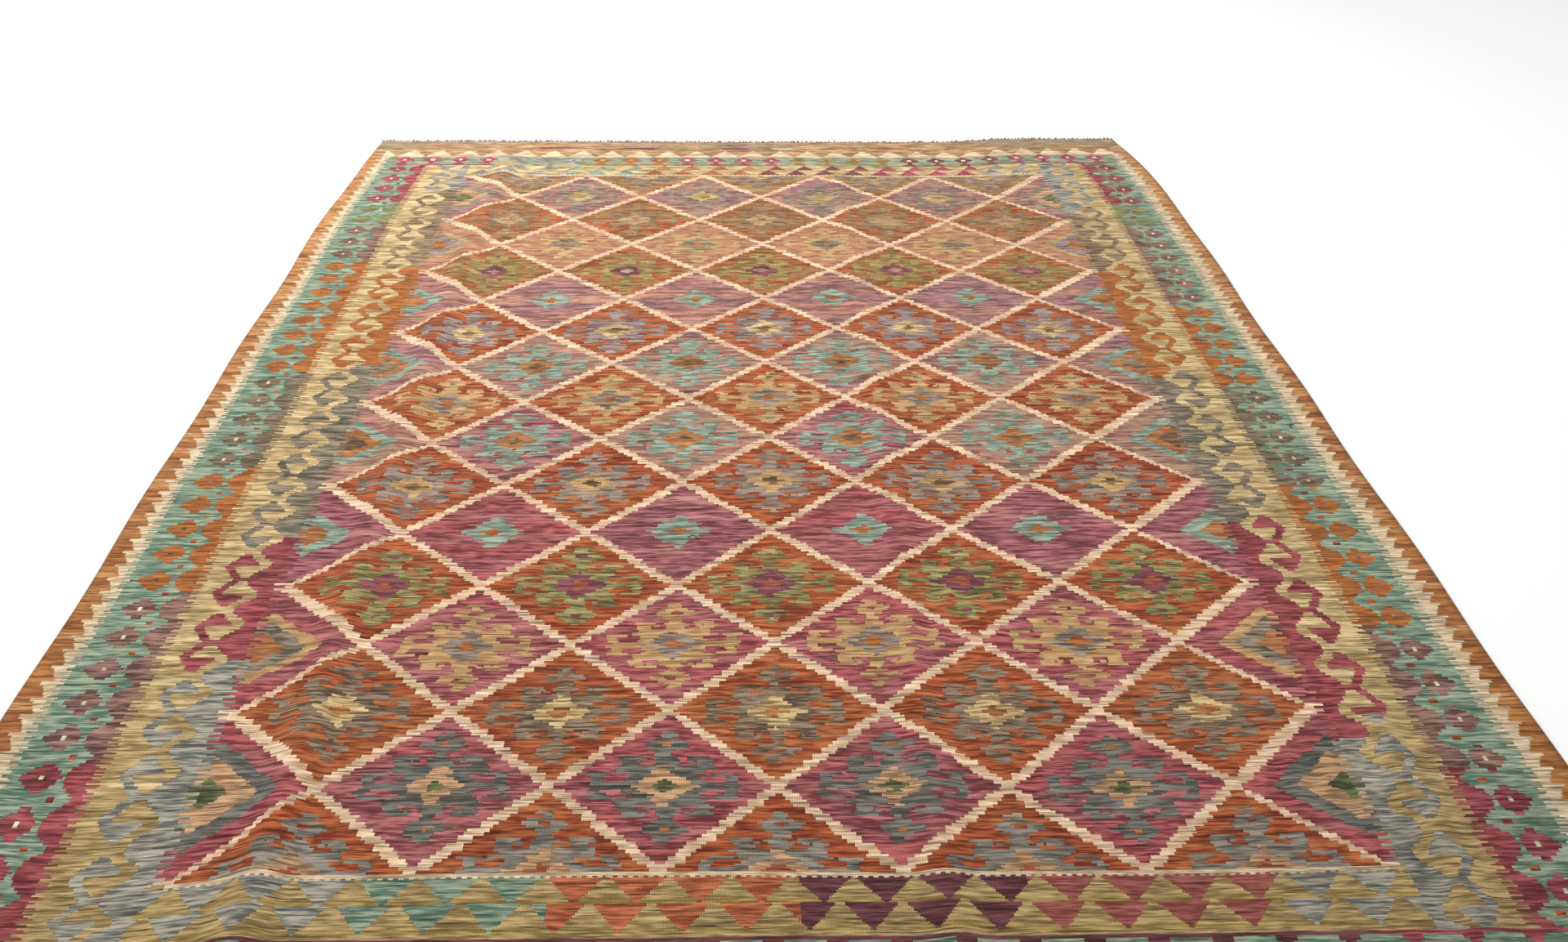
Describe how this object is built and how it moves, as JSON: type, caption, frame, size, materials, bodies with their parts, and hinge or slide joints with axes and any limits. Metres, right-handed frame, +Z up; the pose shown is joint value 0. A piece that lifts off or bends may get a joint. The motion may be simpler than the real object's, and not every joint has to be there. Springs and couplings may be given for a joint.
{
  "type": "flat-woven kilim rug",
  "caption": "Room-size flat-woven wool kilim lying flat, with a stepped diamond lattice, woven side and end borders, plain selvedges and turned-under ends.",
  "frame": {"origin": "middle of the rug's footprint, on the floor", "axes": "+Y along the warp to the narrower end, +X across the rug to the right selvedge, +Z up from the floor"},
  "size_m": [2.005, 2.926, 0.0142],
  "materials": {
    "woven_wool": "dull hand-spun wool weft, plain weave in slit tapestry"
  },
  "bodies": {
    "root": {"woven_cloth": "woven_wool"}
  },
  "joints": []
}
